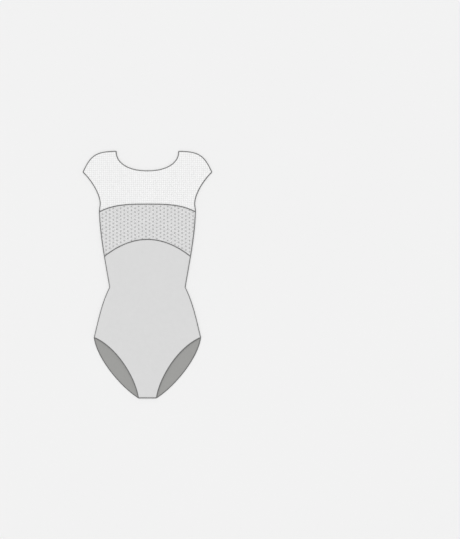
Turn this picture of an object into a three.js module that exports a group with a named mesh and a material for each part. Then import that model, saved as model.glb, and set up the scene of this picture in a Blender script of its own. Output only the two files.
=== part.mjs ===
// A ballet leotard laid flat on a surface, front up, as the cloth pieces that a maker cuts and sews.
// Millimetres. +X is the wearer's left, +Y points to the neck and +Z up from the surface.
// The origin is on the surface, under the middle of the garment's length and width.
import * as THREE from "three";

const { lerp, smoothstep } = THREE.MathUtils;

// Driving sizes
const LENGTH = 700; // shoulder point to crotch, laid flat
const JERSEY = 1.5; // wall of the body cloth
const THIN_CLOTH = 1.0; // wall of the net, the dotted net and the band's lining
const SEAM_GAP = 0.3; // left between two pieces that are sewn or lie on each other
const SIDE_PRESS = 0.4; // how much thinner the jersey is where the side seam pinches it
const SIDE_PRESS_WIDTH = 10; // how far in from the side seam that reaches

// The twist at the centre back: two cloth loops that hook through each other
const TWIST_CROSS = 1.8; // how far each wing's tip passes the centre line
const TWIST_TIP = 3.4; // height of a wing's gathered tip
const TWIST_LIFT = 2.0; // how high the inner wings pass over the outer ones
const LIFT_FROM = 6; // from the twist's middle, where they start to come down
const LIFT_TO = 24; // and where they are down on the surface
const CREASE_HEIGHT = 1.2; // how high a gather's crease stands off the surface
const CREASE_FROM = 12; // the creases are full height up to here
const CREASE_REACH = 84; // and none reaches farther from the twist than this
const CREASE_SPREAD = 0.12; // how far a crease reaches to each side, as a share of the wing's width
const FRONT_EASE = 5; // how far outside the twist the front already lies at its height

// The gathers of each wing: share is a crease's place across it from the upper edge, reach its end from the twist.
const NET_CREASES = [
  { share: 0.25, reach: 70 },
  { share: 0.55, reach: 48 },
  { share: 0.72, reach: 64 },
];
const DOTTED_CREASES = [
  { share: 0.28, reach: 80 },
  { share: 0.58, reach: 44 },
  { share: 0.8, reach: 52 },
];

// Stations down the garment. half is the distance from the centre line, drop the one below the shoulder point.
const AT = {
  neckPoint: { half: 88.9, drop: 0 },
  sleeveTip: { half: 182.6, drop: 58.9 },
  armholeNarrow: { half: 133.8, drop: 148 },
  underarm: { half: 136.2, drop: 171.6 },
  waist: { half: 106.8, drop: 386.4 },
  hip: { half: 150.9, drop: 528.7 },
  crotch: { half: 25.4, drop: LENGTH },
  twist: { half: 0, drop: 208.2 },
  wingFoot: { half: 100.9, drop: 329.3 },
};
const NECKLINE_DROP = 55.4;
const NECKLINE_SQUARENESS = 2.2; // 2 would make the neckline a true half ellipse
const BAND_TOP_DROP = 149.8;
const BAND_BOTTOM = { centreDrop: 250, sideDrop: 298 };
const BACK_TOP = { centreDrop: 365, sideDrop: 317.6 };
const SLIT_SIDE_DROP = 205.4;

// Edges and seams of the wearer's left half, from one station to another. Each is a cubic curve, and its two
// pulls are [half, drop] points that bend it.
const LINES = {
  shoulder: { from: AT.neckPoint, pulls: [[143.5, 0.5], [161, 9.5]], to: AT.sleeveTip },
  armhole: { from: AT.sleeveTip, pulls: [[161.5, 79], [135, 117.5]], to: AT.armholeNarrow },
  underarm: { from: AT.armholeNarrow, pulls: [[134.3, 156], [135.8, 164]], to: AT.underarm },
  side: { from: AT.underarm, pulls: [[134, 244], [118.5, 315]], to: AT.waist },
  hipSide: { from: AT.waist, pulls: [[129.5, 431], [139, 480.5]], to: AT.hip },
  frontLeg: { from: AT.hip, pulls: [[90.7, 554], [35.5, 636.5]], to: AT.crotch },
  backLeg: { from: AT.hip, pulls: [[143.5, 587.5], [75, 669]], to: AT.crotch },
  bandTop: { from: AT.underarm, pulls: [[95, 149.3], [46, BAND_TOP_DROP]], to: { half: 0, drop: BAND_TOP_DROP } },
  backNeck: {
    from: { half: -TWIST_CROSS, drop: AT.twist.drop - TWIST_TIP - SEAM_GAP },
    pulls: [[35, 141], [90, 79]],
    to: AT.neckPoint,
  },
  slitUpper: {
    from: { half: -TWIST_CROSS, drop: AT.twist.drop - SEAM_GAP },
    pulls: [[25, 202.5], [95, 199.5]],
    to: { half: 133.4, drop: SLIT_SIDE_DROP - SEAM_GAP },
  },
  slitLower: {
    from: { half: -TWIST_CROSS, drop: AT.twist.drop + SEAM_GAP },
    pulls: [[25, 211], [95, 212.5]],
    to: { half: 133.4, drop: SLIT_SIDE_DROP + SEAM_GAP },
  },
  keyhole: {
    from: { half: -TWIST_CROSS, drop: AT.twist.drop + TWIST_TIP + SEAM_GAP },
    pulls: [[25, 254], [61.5, 294]],
    to: AT.wingFoot,
  },
};

const yOf = (drop) => LENGTH / 2 - drop;
const dropOf = (y) => LENGTH / 2 - y;
const pointAt = (half, drop) => new THREE.Vector2(half, yOf(drop));

// The curve of one of the lines above, as a function of 0 to 1.
function along({ from, pulls, to }) {
  const curve = new THREE.CubicBezierCurve(
    pointAt(from.half, from.drop),
    pointAt(...pulls[0]),
    pointAt(...pulls[1]),
    pointAt(to.half, to.drop),
  );
  return (t) => curve.getPoint(t);
}

// Where a line that runs down the garment has the given drop, found by halving.
function shareAtDrop(line, drop) {
  let low = 0;
  let high = 1;
  for (let i = 0; i < 30; i++) {
    const middle = (low + high) / 2;
    if (dropOf(line(middle).y) < drop) low = middle;
    else high = middle;
  }
  return (low + high) / 2;
}

// The stretch of a line between two drops.
function between(line, fromDrop, toDrop) {
  const start = shareAtDrop(line, fromDrop);
  const end = shareAtDrop(line, toDrop);
  return (t) => line(lerp(start, end, t));
}

const mirrored = (line) => (t) => {
  const p = line(t);
  return new THREE.Vector2(-p.x, p.y);
};
const backwards = (line) => (t) => line(1 - t);

// Joins stretches, each with its number of steps, into one line whose corners fall on steps.
function joined(...stretches) {
  const total = stretches.reduce((sum, { steps }) => sum + steps, 0);
  const at = (t) => {
    let place = t * total;
    for (const { line, steps } of stretches) {
      if (place <= steps + 1e-9) return line(Math.min(place / steps, 1));
      place -= steps;
    }
    return stretches.at(-1).line(1);
  };
  return { at, stops: evenStops(total) };
}

function evenStops(count) {
  return Array.from({ length: count + 1 }, (_, i) => i / count);
}

const line = Object.fromEntries(Object.entries(LINES).map(([name, shape]) => [name, along(shape)]));
const bandFootHalf = between(line.side, BAND_BOTTOM.sideDrop, LENGTH)(0).x;
const backCornerHalf = between(line.side, BACK_TOP.sideDrop, LENGTH)(0).x;

// Lines that cross the garment, from the wearer's right to left as t goes from 0 to 1
function neckline(t) {
  const angle = Math.PI * (1 - t);
  const cos = Math.cos(angle);
  const power = 2 / NECKLINE_SQUARENESS;
  const half = AT.neckPoint.half * Math.sign(cos) * Math.abs(cos) ** power;
  return pointAt(half, NECKLINE_DROP * Math.abs(Math.sin(angle)) ** power);
}

function bandTop(t) {
  return t < 0.5 ? mirrored(line.bandTop)(2 * t) : line.bandTop(2 - 2 * t);
}

function bowedSeam({ centreDrop, sideDrop }, halfWidth) {
  return (t) => {
    const share = 2 * t - 1;
    return pointAt(share * halfWidth, lerp(centreDrop, sideDrop, share * share));
  };
}

const bandBottom = bowedSeam(BAND_BOTTOM, bandFootHalf);
const backTop = bowedSeam(BACK_TOP, backCornerHalf);
const crotch = (t) => pointAt(lerp(-AT.crotch.half, AT.crotch.half, t), AT.crotch.drop);

// Half the width of the back's outline at a drop below the underarm
function backHalfAt(drop) {
  const outline = drop < AT.waist.drop ? line.side : drop < AT.hip.drop ? line.hipSide : line.backLeg;
  return outline(shareAtDrop(outline, drop)).x;
}

// Heights

// How far the jersey's upper face sinks near the side seam, from the back's top corner down
function sidePress(x, y) {
  const drop = dropOf(y);
  if (drop < BACK_TOP.sideDrop) return 0;
  const inside = backHalfAt(drop) - Math.abs(x);
  const begun = smoothstep(drop, BACK_TOP.sideDrop, BACK_TOP.sideDrop + 2 * SIDE_PRESS_WIDTH);
  return SIDE_PRESS * begun * (1 - smoothstep(inside, 0, SIDE_PRESS_WIDTH));
}

const fromTwist = (x, y) => Math.hypot(x, y - yOf(AT.twist.drop));
const liftAt = (far) => TWIST_LIFT * (1 - smoothstep(far, LIFT_FROM, LIFT_TO));
const creaseAt = (far, reach) => CREASE_HEIGHT * (1 - smoothstep(far, CREASE_FROM, reach));

// The underside of the front layer. It lies on the thin wings, lifts over their gathers and the twist, and goes
// up onto the back's thicker jersey.
function frontUnder(x, y) {
  const backWall = lerp(THIN_CLOTH, JERSEY, smoothstep(dropOf(y), BAND_BOTTOM.centreDrop, BACK_TOP.sideDrop));
  const far = Math.max(fromTwist(x, y) - FRONT_EASE, 0);
  return backWall + SEAM_GAP + creaseAt(far, CREASE_REACH) + liftAt(far) - sidePress(x, y);
}

// How high a wing's creases lift its cloth at a share of its width. They are pressed flatter in the twist.
function gatherHeight(creases, x, y, share) {
  const far = fromTwist(x, y);
  const pressed = lerp(0.5, 1, smoothstep(far, 4, 14));
  return creases.reduce((height, crease) => {
    const off = Math.min(Math.abs(share - crease.share) / CREASE_SPREAD, 1);
    return height + creaseAt(far, crease.reach) * pressed * (0.5 + 0.5 * Math.cos(Math.PI * off));
  }, 0);
}

// A cloth wall over a patch of the plane, bounded by four lines: near and far run with u, left and right with v.
// The points between them are blended from the lines. Its faces lie at the heights under and over.
function clothWall({ near, far, left, right, us, vs, trim = {}, under, over }) {
  const blend = (u, v) =>
    new THREE.Vector2()
      .addScaledVector(near(u), 1 - v)
      .addScaledVector(far(u), v)
      .addScaledVector(left(v), 1 - u)
      .addScaledVector(right(v), u)
      .addScaledVector(near(0), -(1 - u) * (1 - v))
      .addScaledVector(near(1), -u * (1 - v))
      .addScaledVector(far(0), -(1 - u) * v)
      .addScaledVector(far(1), -u * v);
  const plan = vs.map((v) => us.map((u) => blend(u, v)));
  trimEdge(plan[0], plan[1], trim.near);
  trimEdge(plan.at(-1), plan.at(-2), trim.far);

  const rows = vs.length;
  const columns = us.length;
  const positions = [];
  for (const height of [over, under]) {
    plan.forEach((row, j) => row.forEach((p, i) => positions.push(p.x, p.y, height(p.x, p.y, us[i], vs[j]))));
  }
  const top = (i, j) => j * columns + i;
  const bottom = (i, j) => rows * columns + top(i, j);
  const indices = [];
  const quad = (a, b, c, d) => indices.push(a, b, c, a, c, d);
  for (let j = 0; j < rows - 1; j++) {
    for (let i = 0; i < columns - 1; i++) {
      quad(top(i, j), top(i + 1, j), top(i + 1, j + 1), top(i, j + 1));
      quad(bottom(i, j), bottom(i, j + 1), bottom(i + 1, j + 1), bottom(i + 1, j));
    }
  }
  const rim = [];
  for (let i = 0; i < columns - 1; i++) rim.push([i, 0]);
  for (let j = 0; j < rows - 1; j++) rim.push([columns - 1, j]);
  for (let i = columns - 1; i > 0; i--) rim.push([i, rows - 1]);
  for (let j = rows - 1; j > 0; j--) rim.push([0, j]);
  rim.forEach((p, k) => {
    const q = rim[(k + 1) % rim.length];
    quad(top(...p), bottom(...p), bottom(...q), top(...q));
  });
  // A patch whose u and v turn clockwise has its faces turned round, so that they point outwards.
  if (THREE.ShapeUtils.area(rim.map(([i, j]) => plan[j][i])) < 0) indices.reverse();

  const geometry = new THREE.BufferGeometry();
  geometry.setAttribute("position", new THREE.Float32BufferAttribute(positions, 3));
  geometry.setIndex(indices);
  geometry.computeVertexNormals();
  return geometry;
}

// Moves the points of an edge row towards their neighbours by a distance.
function trimEdge(edge, neighbours, distance = 0) {
  edge.forEach((p, i) => p.add(neighbours[i].clone().sub(p).setLength(distance)));
}

const cloth = (color, roughness, opacity = 1) =>
  new THREE.MeshStandardMaterial({ color, roughness, metalness: 0, opacity, transparent: opacity < 1 });

const HALF_GAP = SEAM_GAP / 2;

// Shares of a panel's width at which its wall has points, closer at the side seams or near the twist
const WIDE_STOPS = [0, 0.02, 0.06, 0.2, 0.35, 0.5, 0.65, 0.8, 0.94, 0.98, 1];
const BAND_HALF_STOPS = [0, 0.03, 0.1, 0.18, 0.26, 0.33, 0.38, 0.42, 0.46];
const BAND_STOPS = [...BAND_HALF_STOPS, 0.5, ...BAND_HALF_STOPS.map((share) => 1 - share).reverse()];

// The front yoke with its cap sleeves, one piece of net from the neckline to the band
function yokeFront() {
  const outer = joined(
    { line: mirrored(line.armhole), steps: 7 },
    { line: mirrored(line.underarm), steps: 1 },
    { line: bandTop, steps: 16 },
    { line: backwards(line.underarm), steps: 1 },
    { line: backwards(line.armhole), steps: 7 },
  );
  return clothWall({
    near: neckline,
    far: outer.at,
    left: mirrored(line.shoulder),
    right: line.shoulder,
    us: outer.stops,
    vs: evenStops(8),
    trim: { far: HALF_GAP },
    under: frontUnder,
    over: (x, y) => frontUnder(x, y) + THIN_CLOTH,
  });
}

// One layer of the chest band. The lining lies on the back and the dotted net lies on the lining.
function bandLayer(under) {
  const side = between(line.side, AT.underarm.drop, BAND_BOTTOM.sideDrop);
  return clothWall({
    near: bandTop,
    far: bandBottom,
    left: mirrored(side),
    right: side,
    us: BAND_STOPS,
    vs: evenStops(12),
    trim: { near: HALF_GAP, far: HALF_GAP },
    under,
    over: (x, y) => under(x, y) + THIN_CLOTH,
  });
}

function bandFront() {
  return bandLayer((x, y) => frontUnder(x, y) + THIN_CLOTH + SEAM_GAP);
}

function bodyPanel(topSeam, topDrop, legLine, under, over) {
  const side = joined(
    { line: between(line.side, topDrop, AT.waist.drop), steps: 5 },
    { line: line.hipSide, steps: 8 },
    { line: legLine, steps: 12 },
  );
  return clothWall({
    near: topSeam,
    far: crotch,
    left: mirrored(side.at),
    right: side.at,
    us: WIDE_STOPS,
    vs: side.stops,
    trim: { near: HALF_GAP },
    under,
    over,
  });
}

function bodyFront() {
  const over = (x, y) => frontUnder(x, y) + JERSEY - sidePress(x, y);
  return bodyPanel(bandBottom, BAND_BOTTOM.sideDrop, line.frontLeg, frontUnder, over);
}

function bodyBack() {
  const over = (x, y) => JERSEY - sidePress(x, y);
  return bodyPanel(backTop, BACK_TOP.sideDrop, line.backLeg, () => 0, over);
}

// A wing of the back, from the twist out to the side. lifted is true for one that passes inside the twist, over
// the wing from the other side.
function wing({ upperEdge, outer, lowerEdge, creases, lifted, us, vs, trim }) {
  const tip = (u) => upperEdge(0).clone().lerp(lowerEdge(0), u);
  const under = (x, y, u) => (lifted ? liftAt(fromTwist(x, y)) : 0) + gatherHeight(creases, x, y, u);
  return clothWall({
    near: tip,
    far: outer,
    left: upperEdge,
    right: lowerEdge,
    us,
    vs,
    trim,
    under,
    over: (x, y, u) => under(x, y, u) + THIN_CLOTH,
  });
}

// The back's net wing with its cap sleeve. Its lower edge is the slit, the side and the armhole, one after the
// other, so that the wing opens like a fan from the twist to the shoulder.
function netWing(lifted) {
  const lower = joined(
    { line: line.slitUpper, steps: 14 },
    { line: backwards(between(line.side, AT.underarm.drop, SLIT_SIDE_DROP - SEAM_GAP)), steps: 3 },
    { line: backwards(line.underarm), steps: 2 },
    { line: backwards(line.armhole), steps: 8 },
  );
  return wing({
    upperEdge: line.backNeck,
    outer: line.shoulder,
    lowerEdge: lower.at,
    creases: NET_CREASES,
    lifted,
    us: evenStops(24),
    vs: lower.stops,
    trim: {},
  });
}

// The back's dotted wing, from the slit down to the body
function dottedWing(lifted) {
  const footStart = 1;
  const footEnd = 0.5 + AT.wingFoot.half / (2 * backCornerHalf);
  const outer = joined(
    { line: between(line.side, SLIT_SIDE_DROP + SEAM_GAP, BACK_TOP.sideDrop), steps: 18 },
    { line: (t) => backTop(lerp(footStart, footEnd, t)), steps: 6 },
  );
  return wing({
    upperEdge: line.slitLower,
    outer: outer.at,
    lowerEdge: line.keyhole,
    creases: DOTTED_CREASES,
    lifted,
    us: outer.stops,
    vs: [0, 0.03, 0.07, 0.12, 0.18, 0.26, 0.36, 0.5, 0.66, 0.83, 1],
    trim: { far: HALF_GAP },
  });
}

// The same geometry on the wearer's right side
function onRight(geometry) {
  const turned = geometry.clone().scale(-1, 1, 1);
  turned.setIndex([...turned.index.array].reverse());
  turned.computeVertexNormals();
  return turned;
}

const netCloth = cloth("#efefef", 0.9, 0.6);
const dottedCloth = cloth("#f4f4f4", 0.9, 0.8);
const bandCloth = cloth("#d4d4d4", 0.9);
const jersey = cloth("#dadada", 0.75);

const leotard = new THREE.Group();
const pieces = {
  body_back: [bodyBack(), jersey],
  back_dotted_left: [dottedWing(true), dottedCloth],
  back_dotted_right: [onRight(dottedWing(false)), dottedCloth],
  back_net_left: [netWing(false), netCloth],
  back_net_right: [onRight(netWing(true)), netCloth],
  body_front: [bodyFront(), jersey],
  band_lining: [bandLayer(frontUnder), jersey],
  band_front: [bandFront(), bandCloth],
  yoke_front: [yokeFront(), netCloth],
};
for (const [name, [geometry, material]] of Object.entries(pieces)) {
  const mesh = new THREE.Mesh(geometry, material);
  mesh.name = name;
  leotard.add(mesh);
}

export default leotard;
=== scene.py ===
"""A ballet leotard laid flat, front up: net yoke, dotted band, jersey body and a twisted back of net."""

import math
from bisect import bisect_left

import bpy
from bpy.props import FloatProperty, FloatVectorProperty, PointerProperty
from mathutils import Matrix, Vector
from mathutils.bvhtree import BVHTree


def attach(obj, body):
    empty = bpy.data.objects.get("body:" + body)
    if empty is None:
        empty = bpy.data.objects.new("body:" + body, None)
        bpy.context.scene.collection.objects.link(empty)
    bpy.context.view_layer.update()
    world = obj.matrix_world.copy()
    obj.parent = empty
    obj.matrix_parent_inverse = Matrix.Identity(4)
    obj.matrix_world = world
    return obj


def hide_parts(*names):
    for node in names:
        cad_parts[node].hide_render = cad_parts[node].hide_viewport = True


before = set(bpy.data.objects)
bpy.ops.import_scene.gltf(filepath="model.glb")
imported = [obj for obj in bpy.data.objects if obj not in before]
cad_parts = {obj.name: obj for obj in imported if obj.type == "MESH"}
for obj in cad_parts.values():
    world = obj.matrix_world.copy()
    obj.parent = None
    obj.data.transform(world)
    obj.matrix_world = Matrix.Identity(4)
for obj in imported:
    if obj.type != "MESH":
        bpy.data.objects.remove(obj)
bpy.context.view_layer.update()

bl_info = {
    "name": "Ballet leotard",
    "version": (1, 0, 0),
    "blender": (4, 5, 0),
    "location": "View3D > Sidebar > Leotard",
    "description": "Dresses the leotard's solids with net, dotted net, jersey, gathers and stitched edges",
    "category": "Object",
}

MM = 0.001
BODY = "root"


def linear(hex_colour):
    """An sRGB hex colour as the linear red, green and blue that a shader takes."""
    channels = [int(hex_colour[i : i + 2], 16) / 255 for i in (1, 3, 5)]
    return tuple(c / 12.92 if c <= 0.04045 else ((c + 0.055) / 1.055) ** 2.4 for c in channels)


# Stations down the garment, in millimetres: distance from the centre line, and drop below the shoulder point.
LENGTH = 700
NECK_POINT = (88.9, 0)
SLEEVE_TIP = (182.6, 58.9)
ARMHOLE_NARROW = (133.8, 148)
UNDERARM = (136.2, 171.6)
WAIST = (106.8, 386.4)
HIP = (150.9, 528.7)
CROTCH = (25.4, LENGTH)
TWIST_DROP = 208.2
WING_FOOT = (100.9, 329.3)
NECKLINE_DROP = 55.4
NECKLINE_SQUARENESS = 2.2
BAND_TOP_DROP = 149.8
BAND_BOTTOM = {"centre": 250, "side": 298}
BACK_TOP = {"centre": 365, "side": 317.6}
SLIT_SIDE = (133.4, 205.4)
SLIT_GAP = 0.3

# The twist: from and to are distances from its middle
TIP_CROSS = 1.8  # how far a wing's tip reaches past the centre line
TIP_HEIGHT = 3.4
TIP_CUT = 70  # width of a wing's tip before it was gathered
LIFT = {"height": 2.0, "from": 6, "to": 24}  # of the wings that pass over the others
CREASES = {"height": 1.2, "from": 12, "to": 84}  # what holds the front up round the twist
FRONT_EASE = 5  # how much farther out the front lies over them
RIPPLES = {"count": 7, "height": 0.45, "from": 7, "to": 34}  # the small gathers between the creases
GATHERED_TO = 19  # how far from the twist the gathers swallow the net's lines and the dots
THREAD_FADE = 14  # over how far the net's lines get thinner before the gathers swallow them

# Where a loop of the back turns round, it bulges by reach times the distance from the turn's middle
TURN = {"reach": 1.5, "folds": 5, "height": 0.22}

# Walls, in the same places as in the solids
THIN_CLOTH = 1.0
JERSEY_WALL = 1.5
SEAM_GAP = 0.3

# How high the cloths lie: the wings and the back above the surface, the front's layers above its inner face
WING_REST = 0.5
JERSEY_REST = 0.1
LINING_TOP = 0.9
BAND_NET_REST = 1.5
EDGE_MIDDLE = {"front": 1.2, "back": 0.7}  # of the thread round the jersey's edges

# How far from each seam the front's slack begins and is full
LOOSE = {"side": (2, 40), "shoulder": (4, 28), "crotch": (4, 45)}
# How far a seam rolls each cloth down, the roll's width, and the stretch below the underarm where it sets in
ROLL = {"jersey": 0.5, "band": 0.6, "width": 9, "sets_in": 25}

# Flocked dots: the place of one dot of each pattern, as the cloth happened to be cut, and a dome's rings,
# each with its share of the dot's radius and its height
BAND_DOTS_FROM = (-4.2, 0.3)
WING_DOTS_FROM = (0, 2.8)
DOT_SIDES = 16
DOT_RINGS = ((1.0, -0.02), (0.92, 0.2), (0.55, 0.32))
DOT_TOP = 0.36

# Steps along the leg opening and along the slit, whose edges follow them
LEG_STEPS = 50
SLIT_STEPS = 56

# The picture, in metres: the point below its middle, and the camera's height, which makes it 1.531 m high
PICTURE_MIDDLE = (0.2345, 0.0145)
CAMERA_HEIGHT = 5.742

# Edges and seams of the wearer's left half, as cubic curves: start, two pulls and end.
CURVES = {
    "shoulder": (NECK_POINT, (143.5, 0.5), (161, 9.5), SLEEVE_TIP),
    "armhole": (SLEEVE_TIP, (161.5, 79), (135, 117.5), ARMHOLE_NARROW),
    "underarm": (ARMHOLE_NARROW, (134.3, 156), (135.8, 164), UNDERARM),
    "side": (UNDERARM, (134, 244), (118.5, 315), WAIST),
    "hip_side": (WAIST, (129.5, 431), (139, 480.5), HIP),
    "front_leg": (HIP, (90.7, 554), (35.5, 636.5), CROTCH),
    "back_leg": (HIP, (143.5, 587.5), (75, 669), CROTCH),
    "band_top": (UNDERARM, (95, 149.3), (46, BAND_TOP_DROP), (0, BAND_TOP_DROP)),
    "back_neck": ((-TIP_CROSS, TWIST_DROP - TIP_HEIGHT - SLIT_GAP), (35, 141), (90, 79), NECK_POINT),
    "slit_upper": (
        (-TIP_CROSS, TWIST_DROP - SLIT_GAP), (25, 202.5), (95, 199.5), (SLIT_SIDE[0], SLIT_SIDE[1] - SLIT_GAP)
    ),
    "slit_lower": (
        (-TIP_CROSS, TWIST_DROP + SLIT_GAP), (25, 211), (95, 212.5), (SLIT_SIDE[0], SLIT_SIDE[1] + SLIT_GAP)
    ),
    "keyhole": ((-TIP_CROSS, TWIST_DROP + TIP_HEIGHT + SLIT_GAP), (25, 254), (61.5, 294), WING_FOOT),
}

# The creases that run out of the twist. share is the place across the wing from its upper edge, reach how far
# from the twist the crease ends, height how high it stands and width how wide it is at its foot.
NET_CREASES = (
    {"share": 0.25, "reach": 70, "height": 1.8, "width": 3.6},
    {"share": 0.55, "reach": 48, "height": 1.4, "width": 2.8},
    {"share": 0.72, "reach": 64, "height": 1.7, "width": 3.2},
)
DOTTED_CREASES = (
    {"share": 0.28, "reach": 80, "height": 1.8, "width": 3.6},
    {"share": 0.58, "reach": 44, "height": 1.4, "width": 2.6},
    {"share": 0.80, "reach": 52, "height": 1.7, "width": 3.0},
)


def lerp(a, b, t):
    return a + (b - a) * t


def smooth(value, low, high):
    """0 below low, 1 above high, and a soft step between them."""
    t = min(max((value - low) / (high - low), 0), 1)
    return t * t * (3 - 2 * t)


def at(half, drop):
    """A point of the plan, from its distance to the centre line and its drop below the shoulder point."""
    return Vector((half, LENGTH / 2 - drop))


def curve(name):
    """The named curve as a function of 0 to 1."""
    a, b, c, d = (at(*p) for p in CURVES[name])
    return lambda t: a * (1 - t) ** 3 + b * 3 * t * (1 - t) ** 2 + c * 3 * t * t * (1 - t) + d * t**3


def right_of(line):
    """The same line on the wearer's right side."""
    return lambda t: Vector((-line(t).x, line(t).y))


def backwards(line):
    return lambda t: line(1 - t)


def between(line, from_drop, to_drop):
    """The stretch of a line that runs down the garment, between two drops."""

    def share(drop):
        low, high = 0, 1
        for _ in range(30):
            middle = (low + high) / 2
            if LENGTH / 2 - line(middle).y < drop:
                low = middle
            else:
                high = middle
        return low

    start, end = share(from_drop), share(to_drop)
    return lambda t: line(lerp(start, end, t))


def joined(*stretches):
    """One line made of (line, steps) stretches, and the number of its steps."""
    total = sum(steps for _, steps in stretches)

    def line(t):
        place = t * total
        for stretch, steps in stretches:
            if place <= steps + 1e-9:
                return stretch(min(place / steps, 1))
            place -= steps
        return stretches[-1][0](1)

    return line, total


LINE = {name: curve(name) for name in CURVES}
BAND_FOOT_HALF = between(LINE["side"], BAND_BOTTOM["side"], LENGTH)(0).x
BACK_CORNER_HALF = between(LINE["side"], BACK_TOP["side"], LENGTH)(0).x


def neckline(t):
    angle = math.pi * (1 - t)
    power = 2 / NECKLINE_SQUARENESS
    half = NECK_POINT[0] * math.copysign(abs(math.cos(angle)) ** power, math.cos(angle))
    return at(half, NECKLINE_DROP * abs(math.sin(angle)) ** power)


def band_top(t):
    return right_of(LINE["band_top"])(2 * t) if t < 0.5 else LINE["band_top"](2 - 2 * t)


def bowed_seam(drops, half_width):
    """A seam across the garment that bows up in the middle."""
    return lambda t: at((2 * t - 1) * half_width, lerp(drops["centre"], drops["side"], (2 * t - 1) ** 2))


band_bottom = bowed_seam(BAND_BOTTOM, BAND_FOOT_HALF)
back_top = bowed_seam(BACK_TOP, BACK_CORNER_HALF)


def crotch(t):
    return at(lerp(-CROTCH[0], CROTCH[0], t), CROTCH[1])


# The back's outline from the underarm down, as (drop, half width), to tell how far a point is from the seam
OUTLINE = [
    (LENGTH / 2 - p.y, p.x)
    for name in ("side", "hip_side", "back_leg")
    for p in (LINE[name](i / 60) for i in range(60))
]
OUTLINE_DROPS = [drop for drop, _ in OUTLINE]


def inside_seam(x, y):
    """How far a point is inside the side seam, and a large number above the underarm."""
    drop = LENGTH / 2 - y
    if drop <= UNDERARM[1]:
        return 1000
    i = min(bisect_left(OUTLINE_DROPS, drop), len(OUTLINE) - 1)
    (low, low_half), (high, high_half) = OUTLINE[i - 1], OUTLINE[i]
    half = lerp(low_half, high_half, min((drop - low) / (high - low), 1))
    return half - abs(x)


def from_twist(x, y):
    return math.hypot(x, y - (LENGTH / 2 - TWIST_DROP))


def lift_at(far):
    return LIFT["height"] * (1 - smooth(far, LIFT["from"], LIFT["to"]))


def crease_at(far, height, reach):
    return height * (1 - smooth(far, CREASES["from"], reach))


def roll(x, y, depth):
    """How far cloth turns down towards the side seam that pulls on it."""
    begun = smooth(LENGTH / 2 - y, UNDERARM[1], UNDERARM[1] + ROLL["sets_in"])
    return depth * begun * (1 - smooth(inside_seam(x, y), 0, ROLL["width"]))


def crotch_roll(y):
    """How far the front turns down to the crotch seam."""
    return ROLL["jersey"] * (1 - smooth(y + LENGTH / 2, 0, ROLL["width"]))


def slack(x, y):
    """The soft unevenness of cloth smoothed out by hand: broad, low and never below its resting place."""
    wave = (
        math.sin(x / 31 + y / 57 + 0.7) * math.sin(y / 43 - x / 83 + 1.9)
        + 0.6 * math.sin(x / 19 - y / 37 + 4.1) * math.sin(y / 71 + x / 47)
    )
    return 0.35 * (1 + wave / 1.6)


SHOULDER_SPOTS = [LINE["shoulder"](i / 14) for i in range(15)]


def from_shoulder(x, y):
    """About how far a point is from the shoulder seam, and a large number below the sleeve."""
    if y < LENGTH / 2 - SLEEVE_TIP[1] - 30:
        return 1000
    return min(math.hypot(abs(x) - p.x, y - p.y) for p in SHOULDER_SPOTS)


def front_under(x, y):
    """The height of the front layer's inner face."""
    wall = lerp(THIN_CLOTH, JERSEY_WALL, smooth(LENGTH / 2 - y, BAND_BOTTOM["centre"], BACK_TOP["side"]))
    far = max(from_twist(x, y) - FRONT_EASE, 0)
    over_creases = crease_at(far, CREASES["height"], CREASES["to"])
    loose = smooth(inside_seam(x, y), *LOOSE["side"]) * smooth(from_shoulder(x, y), *LOOSE["shoulder"])
    loose *= smooth(y + LENGTH / 2, *LOOSE["crotch"])
    return wall + SEAM_GAP + over_creases + lift_at(far) + slack(x, y) * loose


def stops(count):
    return [i / count for i in range(count + 1)]


def patch(near, far, left, right, us, vs):
    """Rows of plan points between four lines: near and far run with u, left and right with v."""
    rows = []
    for v in vs:
        row = []
        for u in us:
            edges = near(u) * (1 - v) + far(u) * v + left(v) * (1 - u) + right(v) * u
            corners = (near(0) * (1 - u) + near(1) * u) * (1 - v) + (far(0) * (1 - u) + far(1) * u) * v
            row.append(edges - corners)
        rows.append(row)
    return rows


def raised(plan, height, us, vs):
    """The plan's points at their heights."""
    return [
        [Vector((p.x, p.y, height(p.x, p.y, u, v))) for p, u in zip(row, us)] for row, v in zip(plan, vs)
    ]


def turned(rows):
    """The same rows on the other side of the centre line, still facing up."""
    return [[Vector((-p.x, p.y, p.z)) for p in reversed(row)] for row in rows]


def rim_of(rows):
    """The points round a patch of rows."""
    right = [row[-1] for row in rows[1:-1]]
    left = [row[0] for row in rows[1:-1]]
    return [*rows[0], *right, *reversed(rows[-1]), *reversed(left)]


def area_inside(rim):
    """The plan's area inside a rim, above zero if the rim runs anticlockwise."""
    return sum(p.x * q.y - q.x * p.y for p, q in zip(rim, rim[1:] + rim[:1])) / 2


def faces_up(rows):
    """True if a quad that goes along a row and then to the next row faces up."""
    return area_inside(rim_of(rows)) > 0


def make_piece(name, points, faces, materials, slots=None, soft=True):
    """A mesh piece from points in millimetres. slots gives each face's material."""
    mesh = bpy.data.meshes.new(name)
    mesh.from_pydata([p * MM for p in points], [], faces)
    for material in materials:
        mesh.materials.append(material)
    if slots:
        mesh.polygons.foreach_set("material_index", slots)
    mesh.polygons.foreach_set("use_smooth", [soft] * len(faces))
    mesh.update()
    piece = bpy.data.objects.new(name, mesh)
    bpy.context.scene.collection.objects.link(piece)
    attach(piece, BODY)
    return piece


def grid_faces(rows, first=0):
    columns = len(rows[0])
    up = faces_up(rows)
    faces = []
    for j in range(len(rows) - 1):
        for i in range(columns - 1):
            a = first + j * columns + i
            quad = (a, a + 1, a + columns + 1, a + columns)
            faces.append(quad if up else quad[::-1])
    return faces


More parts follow.
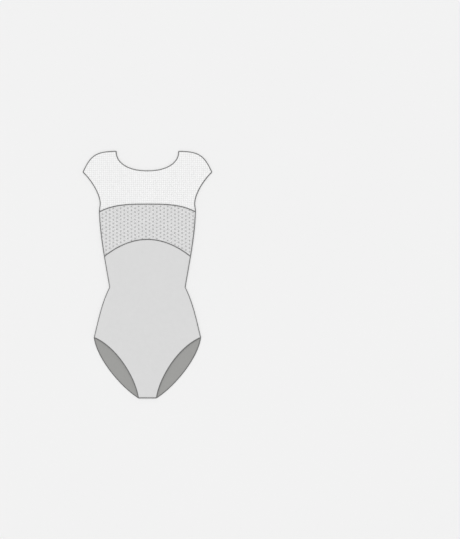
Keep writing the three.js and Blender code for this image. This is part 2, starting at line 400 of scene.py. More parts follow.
def make_sheet(name, rows, material, folds=None):
    """One layer of cloth with almost no thickness, such as a net. folds marks where it lies in folds, which
    closes its holes and darkens it with painted shade.
    """
    points = [p for row in rows for p in row]
    piece = make_piece(name, points, grid_faces(rows), [material])
    if folds:
        mark = piece.data.attributes.new("fold_and_painted_shade", "FLOAT", "POINT")
        mark.data.foreach_set("value", [share for row in folds for share in row])
    return piece


def make_wall(name, rows, thickness, materials):
    """Cloth with a thickness. rows is its upper face, and the second material is its lower face's."""
    columns, count = len(rows[0]), len(rows) * len(rows[0])
    upper = [p for row in rows for p in row]
    lower = [p - Vector((0, 0, thickness)) for p in upper]
    top = grid_faces(rows)
    bottom = [tuple(count + i for i in reversed(face)) for face in top]
    last = len(rows) - 1
    rim = [(0, i) for i in range(columns - 1)]
    rim += [(j, columns - 1) for j in range(last)]
    rim += [(last, i) for i in range(columns - 1, 0, -1)]
    rim += [(j, 0) for j in range(last, 0, -1)]
    loop = [j * columns + i for j, i in rim]
    up = faces_up(rows)
    sides = []
    for a, b in zip(loop, loop[1:] + loop[:1]):
        quad = (a, a + count, b + count, b)
        sides.append(quad if up else quad[::-1])
    slots = [0] * len(top) + [1] * len(bottom) + [0] * len(sides)
    return make_piece(name, upper + lower, top + bottom + sides, materials, slots)


def lies_on(rows):
    """A function that gives the height of a cloth's upper face at any point of the plan."""
    points = [p for row in rows for p in row]
    tree = BVHTree.FromPolygons(points, grid_faces(rows))

    def height(x, y):
        hit = tree.ray_cast(Vector((x, y, 100)), Vector((0, 0, -1)))[0]
        return (hit or tree.find_nearest(Vector((x, y, 2)))[0]).z

    return height


def crossings(rim, place, axis):
    """Where a straight line across the plan enters and leaves the rim, in pairs."""
    other = 1 - axis
    found = []
    for p, q in zip(rim, rim[1:] + rim[:1]):
        if (p[axis] > place) != (q[axis] > place):
            found.append(lerp(p[other], q[other], (place - p[axis]) / (q[axis] - p[axis])))
    found.sort()
    return list(zip(found[::2], found[1::2]))


def inside(rim, x, y):
    return any(low < y < high for low, high in crossings(rim, x, 0))


def runs_outside(path, keep_off):
    """The stretches of a path of plan points that stay farther from the twist than keep_off."""
    runs = [[]]
    for point in path:
        if from_twist(*point) < keep_off:
            runs.append([])
        else:
            runs[-1].append(point)
    return [run for run in runs if len(run) > 1]


def net_threads(name, rows, material, pitch, width, keep_off=0, finer=1):
    """The heavier threads of a net, straight along and across the cloth, each with four sides.

    keep_off is how far from the twist they end, and finer is how many points a thread has from one crossing
    to the next, to follow the creases.
    """
    rim, height = rim_of(rows), lies_on(rows)
    points, faces = [], []
    for axis in (0, 1):
        lows = min(p[axis] for p in rim)
        highs = max(p[axis] for p in rim)
        for k in range(math.ceil(lows / pitch), math.floor(highs / pitch) + 1):
            place = k * pitch + 1e-4  # never just on a point of the rim
            runs = []
            for start, end in crossings(rim, place, axis):
                steps = max(1, round((end - start) / pitch * finer))
                along = [lerp(start, end, i / steps) for i in range(steps + 1)]
                runs += runs_outside([(place, s) if axis == 0 else (s, place) for s in along], keep_off)
            for run in runs:
                steps = len(run) - 1
                first = len(points)
                for x, y in run:
                    full = smooth(from_twist(x, y), keep_off, keep_off + THREAD_FADE) if keep_off else 1
                    across = Vector((1, 0, 0) if axis == 0 else (0, 1, 0)) * lerp(0.15, 0.5, full) * width
                    rise = Vector((0, 0, width * lerp(0.1, 0.36, full)))
                    centre = Vector((x, y, height(x, y)))
                    points += [centre - across, centre + rise, centre + across, centre - rise]
                for i in range(steps):
                    a = first + 4 * i
                    for side in range(4):
                        b = (side + 1) % 4
                        faces.append((a + side, a + b, a + 4 + b, a + 4 + side))
                faces.append(tuple(first + i for i in (3, 2, 1, 0)))
                faces.append(tuple(first + 4 * steps + i for i in range(4)))
    return make_piece(name, points, faces, [material], soft=False)


def flocked_dots(name, rows, material, sizes, face=1, keep_off=0, begin=(0, 0)):
    """Low domes of flock in columns, every second one half a row lower.

    face is 1 on the cloth's upper face and -1 on its lower one. keep_off is how far from the twist they
    begin, and begin is the place of one dot of the pattern. A dot that would lie across a crease is left out.
    """
    rim, height = rim_of(rows), lies_on(rows)
    column, row, radius = (v / MM for v in (sizes.dot_column, sizes.dot_row, sizes.dot_width / 2))
    columns, count = round(SLEEVE_TIP[0] / column), round(LENGTH / 2 / row)
    uneven = 0.5 if keep_off else 1.5  # how much the cloth's height may differ under a dot
    sides, rings = range(DOT_SIDES), len(DOT_RINGS)
    points, faces = [], []
    for i in range(-columns, columns + 1):
        for j in range(-count, count + 1):
            x, y = begin[0] + i * column, begin[1] + (j + 0.5 * (i % 2)) * row
            near = 0.8 * radius
            probes = [(x + near, y), (x - near, y), (x, y + near), (x, y - near)]
            if from_twist(x, y) < keep_off or not all(inside(rim, *probe) for probe in probes):
                continue
            levels = [height(*probe) for probe in (*probes, (x, y))]
            if max(levels) - min(levels) > uneven:
                continue
            first = len(points)
            for reach, rise in DOT_RINGS:
                for k in sides:
                    angle = 2 * math.pi * k / DOT_SIDES * face
                    px, py = x + radius * reach * math.cos(angle), y + radius * reach * math.sin(angle)
                    points.append(Vector((px, py, height(px, py) + face * rise)))
            top = len(points)
            points.append(Vector((x, y, height(x, y) + face * DOT_TOP)))
            for ring in range(rings - 1):
                start = first + ring * DOT_SIDES
                for k in sides:
                    a, b = start + k, start + (k + 1) % DOT_SIDES
                    faces.append((a, b, b + DOT_SIDES, a + DOT_SIDES))
            inner = top - DOT_SIDES
            faces += [(inner + k, inner + (k + 1) % DOT_SIDES, top) for k in sides]
            faces.append(tuple(first + k for k in reversed(sides)))
    return make_piece(name, points, faces, [material])


def evenly(path, step):
    """Points along a path, as near to step apart as its length allows."""
    lengths = [0]
    for p, q in zip(path, path[1:]):
        lengths.append(lengths[-1] + (q - p).length)
    count = max(2, round(lengths[-1] / step))
    points, i = [], 0
    for k in range(count + 1):
        want = lengths[-1] * k / count
        while i < len(path) - 2 and lengths[i + 1] < want:
            i += 1
        span = lengths[i + 1] - lengths[i]
        points.append(path[i].lerp(path[i + 1], (want - lengths[i]) / span if span else 0))
    return points


def overlocked(name, paths, material, width, height, stitch=2.2, thinned=None):
    """Edges or seams whipped over with thread: a flat bead that swells and shifts a little with every stitch.

    It runs on a little past both ends of its path, so that beads meet at the corners. thinned is how far from
    the twist it begins to get thinner. The mark turns counts the thread's turns round the bead.
    """
    around, per_stitch, tail = 8, 4, 0.9
    points, faces, turns = [], [], []
    for path in paths:
        start = path[0] + (path[0] - path[1]).normalized() * tail
        end = path[-1] + (path[-1] - path[-2]).normalized() * tail
        line = evenly([start, *path, end], stitch / per_stitch)
        first = len(points)
        for i, p in enumerate(line):
            across, up = directions(line, i)
            turn = 2 * math.pi * i / per_stitch
            swell = 0.98 + 0.1 * math.cos(turn)
            shift = across * width * 0.05 * math.sin(turn)
            size = lerp(0.2, 1, smooth(from_twist(p.x, p.y), 6, thinned)) if thinned else 1
            size *= (0.5, 0.86, 1)[min(i, len(line) - 1 - i, 2)]
            for k in range(around):
                angle = 2 * math.pi * (k + 0.5) / around - math.pi / 2
                side = across * math.cos(angle) * width + up * math.sin(angle) * height
                points.append(p + shift + side * size * swell / 2)
                turns.append(i / per_stitch + k / around)
        for i in range(len(line) - 1):
            for k in range(around):
                a, b = first + i * around + k, first + i * around + (k + 1) % around
                faces.append((a, a + around, b + around, b))
        end = first + (len(line) - 1) * around
        faces.append(tuple(first + k for k in range(around)))
        faces.append(tuple(end + k for k in reversed(range(around))))
    piece = make_piece(name, points, faces, [material])
    piece.data.attributes.new("turns", "FLOAT", "POINT").data.foreach_set("value", turns)
    return piece


def add(tree, kind, inputs=None, **settings):
    """Adds a node with its settings. An input is a value, or the socket that it is linked to."""
    node = tree.nodes.new(kind)
    for name, value in settings.items():
        setattr(node, name, value)
    for name, value in (inputs or {}).items():
        if isinstance(value, bpy.types.NodeSocket):
            tree.links.new(value, node.inputs[name])
        else:
            node.inputs[name].default_value = value
    return node


def new_material(name, roughness, sheen=0.0):
    """A material, its tree and shader, and the place on the cloth in millimetres as x, y and a vector."""
    material = bpy.data.materials.new(name)
    material.use_nodes = True
    tree = material.node_tree
    shader = tree.nodes["Principled BSDF"]
    shader.inputs["Roughness"].default_value = roughness
    shader.inputs["IOR"].default_value = 1.5
    shader.inputs["Specular IOR Level"].default_value = 0.25
    shader.inputs["Sheen Weight"].default_value = sheen
    shader.inputs["Sheen Roughness"].default_value = 0.5
    place = add(tree, "ShaderNodeTexCoord").outputs["Object"]
    spot = add(tree, "ShaderNodeVectorMath", {0: place, 1: (1 / MM,) * 3}, operation="MULTIPLY").outputs[0]
    parts = add(tree, "ShaderNodeSeparateXYZ", {0: spot})
    return material, tree, shader, parts.outputs[0], parts.outputs[1], spot


def link_tone(tree, shader, spot, colour, grain, spread):
    """Colours the shader with patches a little lighter and darker. grain is their size in millimetres."""
    patches = {"Vector": spot, "Scale": 1 / grain, "Detail": 4.0, "Roughness": 0.6}
    noise = add(tree, "ShaderNodeTexNoise", patches).outputs["Fac"]
    shades = {0: noise, 1: 0.3, 2: 0.7, 3: 1 - spread, 4: 1 + spread}
    light = add(tree, "ShaderNodeMapRange", shades).outputs[0]
    tone = add(tree, "ShaderNodeVectorMath", {0: colour, "Scale": light}, operation="SCALE")
    tree.links.new(tone.outputs[0], shader.inputs["Base Color"])


# Nylon and elastane jersey, single knit: matt, a little sheen at a slant, and upright rows of V stitches.
# Real rows are about 0.5 mm wide. They are drawn at 1 mm, so that they show.
def knitted_jersey(name, colour):
    material, tree, shader, x, y, spot = new_material(name, 0.72, sheen=0.2)
    link_tone(tree, shader, spot, colour, 14, 0.012)
    wale = add(tree, "ShaderNodeMath", {0: x}, operation="FRACT").outputs[0]
    off_middle = add(tree, "ShaderNodeMath", {0: wale, 1: 0.5}, operation="SUBTRACT").outputs[0]
    leg = add(tree, "ShaderNodeMath", {0: off_middle}, operation="ABSOLUTE").outputs[0]
    slant = add(tree, "ShaderNodeMath", {0: y, 1: 1 / 0.8, 2: leg}, operation="MULTIPLY_ADD").outputs[0]
    turns = add(tree, "ShaderNodeMath", {0: slant, 1: 2 * math.pi}, operation="MULTIPLY").outputs[0]
    stitch = add(tree, "ShaderNodeMath", {0: turns}, operation="SINE").outputs[0]
    height = add(tree, "ShaderNodeMath", {0: leg, 1: -2.4, 2: stitch}, operation="MULTIPLY_ADD").outputs[0]
    bump = add(tree, "ShaderNodeBump", {"Strength": 0.35, "Distance": 0.00006, "Height": height})
    tree.links.new(bump.outputs[0], shader.inputs["Normal"])
    return material


# Fine square net of thin nylon thread: the holes let what is below show faintly. Where it lies in folds, its
# layers close the holes, and painted shade darkens its colour. Real holes are about half as wide as drawn
# here.
def fine_net(name, colour, pitch, thread, hole_alpha):
    material, tree, shader, x, y, spot = new_material(name, 0.8, sheen=0.1)
    fold_shade_mark = add(tree, "ShaderNodeAttribute", attribute_name="fold_and_painted_shade").outputs["Fac"]
    # Painted shade: the net's colour is darkened down to a quarter where the mark is full
    shade = add(tree, "ShaderNodeMapRange", {0: fold_shade_mark, 1: 0.0, 2: 1.0, 3: 1.0, 4: 0.24}).outputs[0]
    tone = add(tree, "ShaderNodeVectorMath", {0: colour, "Scale": shade}, operation="SCALE").outputs[0]
    link_tone(tree, shader, spot, tone, 20, 0.008)
    covers = [fold_shade_mark]
    for way in (x, y):
        cell = add(tree, "ShaderNodeMath", {0: way, 1: 1 / pitch}, operation="MULTIPLY").outputs[0]
        share = add(tree, "ShaderNodeMath", {0: cell}, operation="FRACT").outputs[0]
        middle = add(tree, "ShaderNodeMath", {0: share, 1: 0.5}, operation="SUBTRACT").outputs[0]
        far = add(tree, "ShaderNodeMath", {0: middle}, operation="ABSOLUTE").outputs[0]
        edge = 0.5 - thread / pitch / 2
        closing = {0: far, 1: edge - 0.04, 2: edge + 0.04, 3: hole_alpha, 4: 1.0}
        covers.append(add(tree, "ShaderNodeMapRange", closing).outputs[0])
    cover = covers[0]
    for other in covers[1:]:
        cover = add(tree, "ShaderNodeMath", {0: cover, 1: other}, operation="MAXIMUM").outputs[0]
    tree.links.new(cover, shader.inputs["Alpha"])
    bump = add(tree, "ShaderNodeBump", {"Strength": 0.3, "Distance": 0.0001, "Height": cover})
    tree.links.new(bump.outputs[0], shader.inputs["Normal"])
    return material


# Nylon thread of the net's heavier lines: plain, smooth and matt.
def net_yarn(name, colour):
    material, tree, shader, _, _, spot = new_material(name, 0.7)
    link_tone(tree, shader, spot, colour, 3, 0.03)
    return material


# Flock: short fibres stood on end in glue, velvety, with no gloss and a soft grain.
def flock(name, colour):
    material, tree, shader, _, _, spot = new_material(name, 0.95, sheen=0.3)
    link_tone(tree, shader, spot, colour, 0.6, 0.06)
    fibre = add(tree, "ShaderNodeTexNoise", {"Vector": spot, "Scale": 3.0, "Detail": 2.0})
    bump = add(tree, "ShaderNodeBump", {"Strength": 0.5, "Distance": 0.0002, "Height": fibre.outputs["Fac"]})
    tree.links.new(bump.outputs[0], shader.inputs["Normal"])
    return material


# Woolly polyester overlock thread: matt, soft, wound slantwise, three threads a turn, with furrows between.
def overlock_thread(name, colour):
    material, tree, shader, _, _, spot = new_material(name, 0.85, sheen=0.15)
    turns = add(tree, "ShaderNodeAttribute", attribute_name="turns").outputs["Fac"]
    angle = add(tree, "ShaderNodeMath", {0: turns, 1: 3 * 2 * math.pi}, operation="MULTIPLY").outputs[0]
    wave = add(tree, "ShaderNodeMath", {0: angle}, operation="COSINE").outputs[0]
    # The thread's colour is painted lighter on each thread and darker in the furrows between: painted
    # highlight and painted shade
    light = add(tree, "ShaderNodeMapRange", {0: wave, 1: -1.0, 2: 1.0, 3: 0.62, 4: 1.2}).outputs[0]
    tone = add(tree, "ShaderNodeVectorMath", {0: colour, "Scale": light}, operation="SCALE").outputs[0]
    link_tone(tree, shader, spot, tone, 0.9, 0.08)
    bump = add(tree, "ShaderNodeBump", {"Strength": 0.6, "Distance": 0.00015, "Height": wave})
    tree.links.new(bump.outputs[0], shader.inputs["Normal"])
    return material


# Matt paper sweep under the garment: even, with the faintest tooth.
def paper(name, colour):
    material, tree, shader, _, _, spot = new_material(name, 0.95)
    link_tone(tree, shader, spot, colour, 900, 0.003)
    return material


class LeotardSizes(bpy.types.PropertyGroup):
    """Sizes of the cloths and their trims."""

    jersey_wall: FloatProperty(
        name="Jersey", description="Thickness of the body cloth", default=1.2 * MM, unit="LENGTH"
    )
    lining_wall: FloatProperty(
        name="Lining", description="Thickness of the band's lining", default=0.8 * MM, unit="LENGTH"
    )
    net_pitch: FloatProperty(
        name="Net grid", description="Distance between the heavier threads", default=5.68 * MM, unit="LENGTH"
    )
    net_thread: FloatProperty(
        name="Net thread", description="Width of the net's heavier threads", default=0.7 * MM, unit="LENGTH"
    )
    dot_column: FloatProperty(
        name="Dot columns", description="Distance between columns of dots", default=10.29 * MM, unit="LENGTH"
    )
    dot_row: FloatProperty(
        name="Dot rows", description="Distance between dots in a column", default=10.74 * MM, unit="LENGTH"
    )
    dot_width: FloatProperty(
        name="Dot", description="Width of a flocked dot", default=4.6 * MM, unit="LENGTH"
    )
    edge_width: FloatProperty(
        name="Edge thread", description="Width of the overlocked edges", default=2.8 * MM, unit="LENGTH"
    )


class LeotardColours(bpy.types.PropertyGroup):
    """Colours of the cloths, the thread and the surface."""

    jersey: FloatVectorProperty(
        name="Jersey", description="Right side of the jersey", subtype="COLOR", default=linear("#d6d6d6")
    )
    # The back's inside is painted much darker than the front's inside of the same jersey: painted shade
    # inside the leg openings
    back_inside_painted_shade: FloatVectorProperty(
        name="Jersey inside", description="Wrong side of the back", subtype="COLOR", default=linear("#9a9a98")
    )
    front_inside: FloatVectorProperty(
        name="Front inside", description="Wrong side of the front", subtype="COLOR", default=linear("#ececec")
    )
    lining: FloatVectorProperty(
        name="Lining", description="Layer below the band's net", subtype="COLOR", default=linear("#d0d0d0")
    )
    net: FloatVectorProperty(
        name="Net", description="Fine ground of the nets", subtype="COLOR", default=linear("#fdfdfd")
    )
    net_line: FloatVectorProperty(
        name="Net lines", description="Heavier threads of the net", subtype="COLOR", default=linear("#e4e4e4")
    )
    band_dot: FloatVectorProperty(
        name="Band dots", description="Dots over the grey lining", subtype="COLOR", default=linear("#b3b3b3")
    )
    wing_dot: FloatVectorProperty(
        name="Wing dots", description="Dots on the unlined wings", subtype="COLOR", default=linear("#c4c4c4")
    )
    thread: FloatVectorProperty(
        name="Thread", description="Overlock thread", subtype="COLOR", default=linear("#757575")
    )
    floor: FloatVectorProperty(
        name="Surface", description="Paper below the garment", subtype="COLOR", default=linear("#eeeeee")
    )


def material_for(key):
    """The material of a cloth, made at its first use."""
    colours = bpy.context.scene.leotard_colours
    makers = {
        "jersey_right_side": lambda name: knitted_jersey(name, colours.jersey),
        # The back's inside: the jersey darkened with painted shade
        "jersey_wrong_side": lambda name: knitted_jersey(name, colours.back_inside_painted_shade),
        "jersey_front_inside": lambda name: knitted_jersey(name, colours.front_inside),
        "band_backing": lambda name: knitted_jersey(name, colours.lining),
        "nylon_net": lambda name: fine_net(name, colours.net, pitch=1.42, thread=0.5, hole_alpha=0.72),
        "nylon_tulle": lambda name: fine_net(name, colours.net, pitch=1.2, thread=0.22, hole_alpha=0.1),
        "net_yarn": lambda name: net_yarn(name, colours.net_line),
        "band_flock": lambda name: flock(name, colours.band_dot),
        "wing_flock": lambda name: flock(name, colours.wing_dot),
        "overlock_thread": lambda name: overlock_thread(name, colours.thread),
        "paper_sweep": lambda name: paper(name, colours.floor),
    }
    return bpy.data.materials.get(key) or makers[key](key)


def declare(rows, node, extra=0.0):
    """Hides the solid that a cloth stands for. It works out how large the cloth was cut, but passes this on
    to nothing; extra is cut area that the gathers take up.
    """
    rim = rim_of(rows)
    flat = [(max(p[i] for p in rim) - min(p[i] for p in rim)) * MM for i in (0, 1)]
    area = abs(area_inside(rim)) * MM * MM + extra
    flat[0] = max(flat[0], 1.01 * area / flat[1])
    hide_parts(node)


def yoke_rows():
    outer, steps = joined(
        (right_of(LINE["armhole"]), 24),
        (right_of(LINE["underarm"]), 4),
        (band_top, 48),
        (backwards(LINE["underarm"]), 4),
        (backwards(LINE["armhole"]), 24),
    )
    us, vs = stops(steps), stops(30)
    plan = patch(neckline, outer, right_of(LINE["shoulder"]), LINE["shoulder"], us, vs)
    return raised(plan, lambda x, y, u, v: front_under(x, y) + THIN_CLOTH / 2, us, vs)


def band_rows(rise):
    side = between(LINE["side"], UNDERARM[1], BAND_BOTTOM["side"])
    us, vs = stops(64), stops(30)
    plan = patch(band_top, band_bottom, right_of(side), side, us, vs)
    return raised(plan, lambda x, y, u, v: front_under(x, y) + rise - roll(x, y, ROLL["band"]), us, vs)


def body_rows(top_seam, top_drop, leg, height):
    side, steps = joined(
        (between(LINE["side"], top_drop, WAIST[1]), 20), (LINE["hip_side"], 30), (LINE[leg], LEG_STEPS)
    )
    us, vs = stops(60), stops(steps)
    plan = patch(top_seam, crotch, right_of(side), side, us, vs)
    return raised(plan, height, us, vs)


def front_body_rows(rise):
    """The front body at a height above its inner face's place."""

    def height(x, y, u, v):
        return front_under(x, y) + rise - roll(x, y, ROLL["jersey"]) - crotch_roll(y)

    return body_rows(band_bottom, BAND_BOTTOM["side"], "front_leg", height)


def back_body_rows(rise):
    """The back body at a height above the surface."""
    return body_rows(back_top, BACK_TOP["side"], "back_leg", lambda x, y, u, v: rise)


def pleats(x, y, share, creases, opening, narrow=1.0):
    """Each crease's height at a point of a wing, which gets wider by opening for each millimetre out."""
    far = from_twist(x, y)
    across = TIP_HEIGHT + opening * far
    for crease in creases:
        spread = min(crease["width"] * narrow / across, 0.12)
        off = min(abs(share - crease["share"]) / spread, 1)
        pleat = (1 - off) ** 2 * (1 + 2 * off)
        yield crease_at(far, crease["height"], crease["reach"]) * pleat


def rippled(far, share):
    """The small gathers across a wing, from 0 in a furrow to 1 on a ripple, and how strong they are there."""
    wave = 0.5 + 0.5 * math.cos(2 * math.pi * RIPPLES["count"] * share + 1.3 * math.sin(9 * share))
    return wave, 1 - smooth(far, RIPPLES["from"], RIPPLES["to"])


def creased(x, y, share, creases, opening):
    """How high a wing's creases lift its cloth. They are pressed flatter in the twist."""
    far = from_twist(x, y)
    wave, strength = rippled(far, share)
    pressed = lerp(0.4, 1, smooth(far, 3, 14))
    return (sum(pleats(x, y, share, creases, opening)) + RIPPLES["height"] * wave * strength) * pressed


def fold_and_painted_shade(x, y, share, creases, opening):
    """How much of a wing's net lies in folds at a point, from 0 to 1. It closes the net's holes and darkens
    it with painted shade in the creases, round the twist and along the wing's upper edge near the twist.
    """
    far = from_twist(x, y)
    wave, strength = rippled(far, share)
    in_pleats = sum(pleats(x, y, share, creases, opening, narrow=0.6)) * 0.55
    in_ripples = 0.5 * wave * wave * strength
    in_twist = 0.6 * (1 - smooth(far, 3, 22))
    at_edge = 0.5 * (1 - smooth(share, 0, 0.12)) * strength
    return min(in_pleats + in_ripples + in_twist + at_edge, 1)


def wing_rows(upper, outer, lower, us, vs, creases, opening, lifted):
    """A wing of the back, from its gathered tip in the twist out to its outer line."""

    def tip(u):
        return upper(0).lerp(lower(0), u)

    def height(x, y, u, v):
        lift = lift_at(from_twist(x, y)) if lifted else 0
        return WING_REST + lift + creased(x, y, u, creases, opening)

    plan = patch(tip, outer, upper, lower, us, vs)
    # How much the net lies in folds at each point, which also sets its painted shade
    folds = [[fold_and_painted_shade(p.x, p.y, u, creases, opening) for p, u in zip(row, us)] for row in plan]
    return raised(plan, height, us, vs), folds


def net_wing_rows(lifted):
    """The net wing, a fan whose lower edge runs along the slit, up the side and round the armhole."""
    lower, steps = joined(
        (LINE["slit_upper"], SLIT_STEPS),
        (backwards(between(LINE["side"], UNDERARM[1], SLIT_SIDE[1] - SLIT_GAP)), 8),
        (backwards(LINE["underarm"]), 6),
        (backwards(LINE["armhole"]), 26),
    )
    us, vs = stops(96), stops(steps)
    return wing_rows(LINE["back_neck"], LINE["shoulder"], lower, us, vs, NET_CREASES, 0.9, lifted)


def dotted_wing_rows(lifted):
    foot = 0.5 + WING_FOOT[0] / (2 * BACK_CORNER_HALF)  # its place on the back's top seam, which ends at 1
    outer, steps = joined(
        (between(LINE["side"], SLIT_SIDE[1] + SLIT_GAP, BACK_TOP["side"]), 72),
        (lambda t: back_top(lerp(1, foot, t)), 24),
    )
    us, vs = stops(steps), [(i / 70) ** 1.4 for i in range(71)]
    return wing_rows(LINE["slit_lower"], outer, LINE["keyhole"], us, vs, DOTTED_CREASES, 0.8, lifted)


def starts(rows):
    """The edge of a patch where its rows start."""
    return [row[0] for row in rows]


def ends(rows):
    """The edge of a patch where its rows end."""
    return [row[-1] for row in rows]


def above(path, rise):
    return [p + Vector((0, 0, rise)) for p in path]


class LEOTARD_OT_stage(bpy.types.Operator):
    """Adds the paper that the leotard lies on, the soft lights and the camera straight above."""

    bl_idname = "leotard.stage"
    bl_label = "Surface, lights and camera"

    def execute(self, context):
        scene = context.scene
        scene.view_settings.view_transform = "Standard"

        mesh = bpy.data.meshes.new("paper_sweep")
        reach = 15
        corners = [(x * reach, y * reach, 0) for x, y in ((-1, -1), (1, -1), (1, 1), (-1, 1))]
        mesh.from_pydata(corners, [], [(0, 1, 2, 3)])
        mesh.materials.append(material_for("paper_sweep"))
        floor = bpy.data.objects.new("paper_sweep", mesh)
        scene.collection.objects.link(floor)

        world = bpy.data.worlds.new("studio")
        world.use_nodes = True
        background = world.node_tree.nodes["Background"]
        background.inputs["Color"].default_value = (1, 1, 1, 1)
        background.inputs["Strength"].default_value = 0.70
        scene.world = world

        key = bpy.data.lights.new("softbox", "SUN")
        key.energy = 1.138
        key.angle = math.radians(24)
        lamp = bpy.data.objects.new("softbox", key)
        # The light stands a little to the upper left of the garment
        lamp.rotation_euler = Vector((-0.15, 0.35, 1.0)).to_track_quat("Z", "Y").to_euler()
        scene.collection.objects.link(lamp)

        camera_data = bpy.data.cameras.new("camera")
        camera_data.lens = 135
        camera_data.sensor_width = 36
        camera_data.clip_end = 100
        camera = bpy.data.objects.new("camera", camera_data)
        camera.location = (*PICTURE_MIDDLE, CAMERA_HEIGHT)
        scene.collection.objects.link(camera)
        scene.camera = camera
        return {"FINISHED"}


class LEOTARD_OT_body(bpy.types.Operator):
    """Cuts the front and the back of the jersey body."""

    bl_idname = "leotard.body"
    bl_label = "Jersey body"

    def execute(self, context):
        wall = context.scene.leotard_sizes.jersey_wall / MM
        right_side, shaded_wrong_side = material_for("jersey_right_side"), material_for("jersey_wrong_side")
        # The back's upper face, its inside, takes the jersey darkened with painted shade
        back = back_body_rows(JERSEY_REST + wall)
        piece = make_wall("body_back_jersey", back, wall, [shaded_wrong_side, right_side])
        declare(back, "body_back")

        front = front_body_rows(JERSEY_REST + wall)
        piece = make_wall("body_front_jersey", front, wall, [right_side, material_for("jersey_front_inside")])
        declare(front, "body_front")
        return {"FINISHED"}


class LEOTARD_OT_band(bpy.types.Operator):
    """Lays the dotted chest band over its grey lining."""

    bl_idname = "leotard.band"
    bl_label = "Chest band"

    def execute(self, context):
        sizes = context.scene.leotard_sizes
        lining = band_rows(LINING_TOP)
        cloths = [material_for("band_backing"), material_for("jersey_front_inside")]
        piece = make_wall("band_lining_jersey", lining, sizes.lining_wall / MM, cloths)
        declare(lining, "band_lining")

        net = band_rows(BAND_NET_REST)
        dots = flocked_dots("band_dots", net, material_for("band_flock"), sizes, begin=BAND_DOTS_FROM)
        piece = make_sheet("band_tulle", net, material_for("nylon_tulle"))
        declare(net, "band_front")
        return {"FINISHED"}


class LEOTARD_OT_yoke(bpy.types.Operator):
    """Makes the front yoke and its cap sleeves from net."""

    bl_idname = "leotard.yoke"
    bl_label = "Front yoke"

    def execute(self, context):
        sizes = context.scene.leotard_sizes
        rows = yoke_rows()
        threads = net_threads(
            "yoke_threads", rows, material_for("net_yarn"), sizes.net_pitch / MM, sizes.net_thread / MM
        )
        piece = make_sheet("yoke_net", rows, material_for("nylon_net"))
        declare(rows, "yoke_front")
        return {"FINISHED"}


class LEOTARD_OT_wings(bpy.types.Operator):
    """Gathers the back's net and dotted wings towards the twist."""

    bl_idname = "leotard.wings"
    bl_label = "Back wings"

    def execute(self, context):
        sizes = context.scene.leotard_sizes
        pitch, width = sizes.net_pitch / MM, sizes.net_thread / MM
        taken_up = (TIP_CUT - TIP_HEIGHT) / 2 * CREASES["to"] * MM * MM
        for side in ("left", "right"):
            rows, folds = net_wing_rows(lifted=side == "right")
            if side == "right":
                rows, folds = turned(rows), [row[::-1] for row in folds]
            yarn = material_for("net_yarn")
            threads = net_threads(f"wing_threads_{side}", rows, yarn, pitch, width, GATHERED_TO, finer=3)
            piece = make_sheet(f"wing_net_{side}", rows, material_for("nylon_net"), folds)
            declare(rows, f"back_net_{side}", taken_up)

            rows, folds = dotted_wing_rows(lifted=side == "left")
            if side == "right":
                rows, folds = turned(rows), [row[::-1] for row in folds]
            name, flocking, clear = f"wing_dots_{side}", material_for("wing_flock"), GATHERED_TO + 3
            dots = flocked_dots(name, rows, flocking, sizes, face=-1, keep_off=clear, begin=WING_DOTS_FROM)
            piece = make_sheet(f"wing_tulle_{side}", rows, material_for("nylon_tulle"), folds)
            declare(rows, f"back_dotted_{side}", taken_up)
        return {"FINISHED"}


class LEOTARD_OT_twist(bpy.types.Operator):
    """Turns the gathered tips round each other, so that the two loops of the back hook together."""

    bl_idname = "leotard.twist"
    bl_label = "Twist"

    def execute(self, context):
        width = context.scene.leotard_sizes.edge_width / MM
        for side in ("left", "right"):
            net, dotted = loop_rows(side)
            rows = turn_rows(net[0], dotted[0])
            # The turned cloth is marked nine tenths in folds all over: its holes close and painted shade
            # darkens it to dark grey
            folds = [[0.9] * len(row) for row in rows]
            piece = make_sheet(f"twist_turn_{side}", rows, material_for("nylon_net"), folds)

            edge = starts(net)[::-1] + starts(rows) + ends(dotted)
            edge = [Vector((p.x, p.y, max(p.z, WING_REST))) for p in edge]
            beads = overlocked(f"loop_edges_{side}", [edge], material_for("overlock_thread"), width, 0.8)
        return {"FINISHED"}


def loop_rows(side):
    """The two wings of one loop of the back, each with its first point at the edge and nearest the twist."""
    net, _ = net_wing_rows(lifted=side == "right")
    dotted, _ = dotted_wing_rows(lifted=side == "left")
    if side == "right":
        net, dotted = ([[Vector((-p.x, p.y, p.z)) for p in row] for row in rows] for rows in (net, dotted))
    return net, dotted


def turn_rows(net_tip, dotted_tip):
    """The gathered cloth of a loop, turned back round its slit from one wing's tip to the other's."""
    steps = 28
    way = 1 if net_tip[0].x > 0 else -1
    rows = []
    for i in range(steps + 1):
        angle = math.pi * i / steps
        row = []
        for k, (p, q) in enumerate(zip(net_tip, reversed(dotted_tip))):
            middle, half = (p + q) / 2, (p - q) / 2
            bulge = way * TURN["reach"] * abs(half.y) * math.sin(angle)
            wave = math.sin(2 * math.pi * TURN["folds"] * k / len(net_tip) + 0.6 * math.sin(3 * angle))
            rise = TURN["height"] * wave * math.sin(angle)
            row.append(middle + half * math.cos(angle) + Vector((bulge, 0, rise)))
        rows.append(row)
    return rows


def directions(path, i):
    """The ways across and up from a path at one of its points."""
    ahead = (path[min(i + 1, len(path) - 1)] - path[max(i - 1, 0)]).normalized()
    across = ahead.cross(Vector((0, 0, 1))).normalized()
    return across, across.cross(ahead)


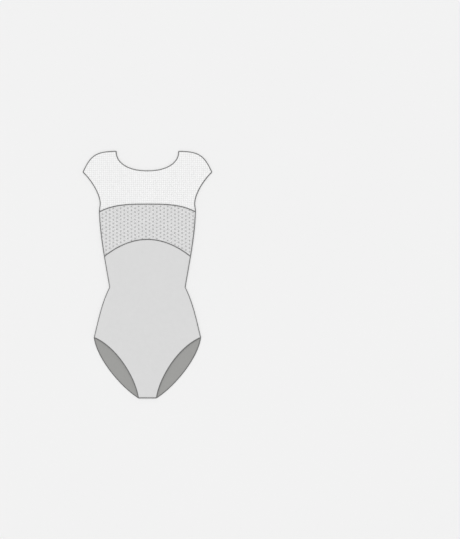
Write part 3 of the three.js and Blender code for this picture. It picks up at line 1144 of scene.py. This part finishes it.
class LEOTARD_OT_seams(bpy.types.Operator):
    """Overlocks the edges and seams with grey thread."""

    bl_idname = "leotard.seams"
    bl_label = "Edges and seams"

    def execute(self, context):
        width = context.scene.leotard_sizes.edge_width / MM
        thread = material_for("overlock_thread")
        yoke, band = yoke_rows(), band_rows(BAND_NET_REST)
        front, back = front_body_rows(EDGE_MIDDLE["front"]), back_body_rows(EDGE_MIDDLE["back"])
        front_legs, back_legs = (
            [edge(body)[-LEG_STEPS - 1 :] for edge in (starts, ends)] for body in (front, back)
        )
        # Each edge or seam with its paths, how far the thread's middle lies above them, the thread's height
        # and its slot
        runs = {
            "neckline_edge": ([yoke[0]], 0, 1.0, "fine_net"),
            "band_top_seam": ([band[0]], 0.2, 1.5, "dotted_net_on_lining"),
            "band_bottom_seam": ([band[-1]], 0.1, 1.2, "dotted_net_on_lining"),
            "front_leg_edges": (front_legs, 0, 1.2, "jersey"),
            "back_leg_edges": (back_legs, 0.25, 1.8, "jersey"),
            "back_top_seam": ([back[0]], 0, 1.2, "jersey"),
        }
        for name, (paths, rise, height, slot) in runs.items():
            paths = [above(path, rise) for path in paths]
            overlocked(name, paths, thread, width, height)

        slits = []
        for way in ("left", "right"):
            net, dotted = loop_rows(way)
            slits += [ends(net)[: SLIT_STEPS + 1], starts(dotted)]
        overlocked("slit_edges", slits, thread, width, 0.8, thinned=26)

        self.joins(thread, width)
        return {"FINISHED"}

    def joins(self, thread, width):
        """The seams that hold the front to the back, and the sleeve edges, which stay open."""
        shoulder, armhole, underarm = (
            [LINE[name](i / 60) for i in range(61)] for name in ("shoulder", "armhole", "underarm")
        )
        side = [LINE["side"](i / 80) for i in range(81)] + [LINE["hip_side"](i / 60) for i in range(1, 61)]
        # Each seam with its line, the height of the thread's middle, the thread's height and its slot
        deep = {
            "shoulder_seams": (shoulder, 1.4, 2.6, "fine_net"),
            "side_seams": (side, 1.6, 3.0, "jersey"),
        }
        for name, (line, middle, height, slot) in deep.items():
            left = [Vector((p.x, p.y, middle)) for p in line]
            right = [Vector((-p.x, p.y, p.z)) for p in left]
            overlocked(name, [left, right], thread, width, height)
        path = [Vector((*crotch(t), 1.8)) for t in stops(12)]
        overlocked("crotch_seam", [path], thread, width, 3.4)
        for name, middle in (("front_sleeve_edges", None), ("back_sleeve_edges", WING_REST)):
            paths = []
            for way in (1, -1):
                line = [Vector((way * p.x, p.y)) for p in armhole + underarm[1:]]
                paths.append(
                    [Vector((p.x, p.y, middle or front_under(p.x, p.y) + THIN_CLOTH / 2)) for p in line]
                )
            overlocked(name, paths, thread, width, 0.9)


class LEOTARD_PT_panel(bpy.types.Panel):
    """Lists the leotard's pieces, sizes and colours."""

    bl_idname = "LEOTARD_PT_panel"
    bl_label = "Ballet leotard"
    bl_space_type = "VIEW_3D"
    bl_region_type = "UI"
    bl_category = "Leotard"

    def draw(self, context):
        for operator in OPERATORS:
            self.layout.operator(operator.bl_idname)
        for group in (context.scene.leotard_sizes, context.scene.leotard_colours):
            box = self.layout.box()
            for name in group.__annotations__:
                box.prop(group, name)


OPERATORS = (
    LEOTARD_OT_stage,
    LEOTARD_OT_body,
    LEOTARD_OT_band,
    LEOTARD_OT_yoke,
    LEOTARD_OT_wings,
    LEOTARD_OT_twist,
    LEOTARD_OT_seams,
)
CLASSES = (LeotardSizes, LeotardColours, *OPERATORS, LEOTARD_PT_panel)


def register():
    for cls in CLASSES:
        bpy.utils.register_class(cls)
    bpy.types.Scene.leotard_sizes = PointerProperty(type=LeotardSizes)
    bpy.types.Scene.leotard_colours = PointerProperty(type=LeotardColours)


def unregister():
    del bpy.types.Scene.leotard_colours
    del bpy.types.Scene.leotard_sizes
    for cls in reversed(CLASSES):
        bpy.utils.unregister_class(cls)


def main():
    register()
    for operator in OPERATORS:
        group, name = operator.bl_idname.split(".")
        getattr(getattr(bpy.ops, group), name)()


if __name__ == "__main__":
    main()
